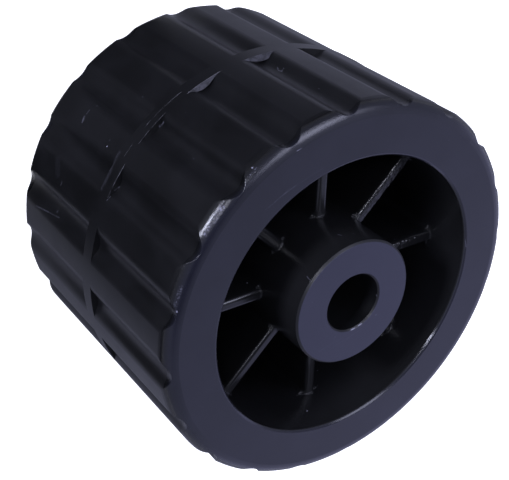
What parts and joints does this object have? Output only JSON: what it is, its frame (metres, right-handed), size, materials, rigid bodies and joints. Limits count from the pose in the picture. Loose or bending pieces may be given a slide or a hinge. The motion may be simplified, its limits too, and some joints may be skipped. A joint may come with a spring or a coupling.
{
  "type": "side roller",
  "caption": "Fluted moulded side roller with ribbed recesses in both ends and a plain hub bore; it turns on an axle and guides a boat's hull on a trailer.",
  "frame": {"origin": "on the bore's axis at mid length, the centre of the web", "axes": "+Z along the bore and out of the upper end; +X along a rib; both ends are alike"},
  "size_m": [0.12, 0.12, 0.094],
  "materials": {
    "black_plastic": "satin black moulded plastic, slightly glossy in the recesses"
  },
  "bodies": {
    "root": {"roller": "black_plastic"}
  },
  "joints": []
}
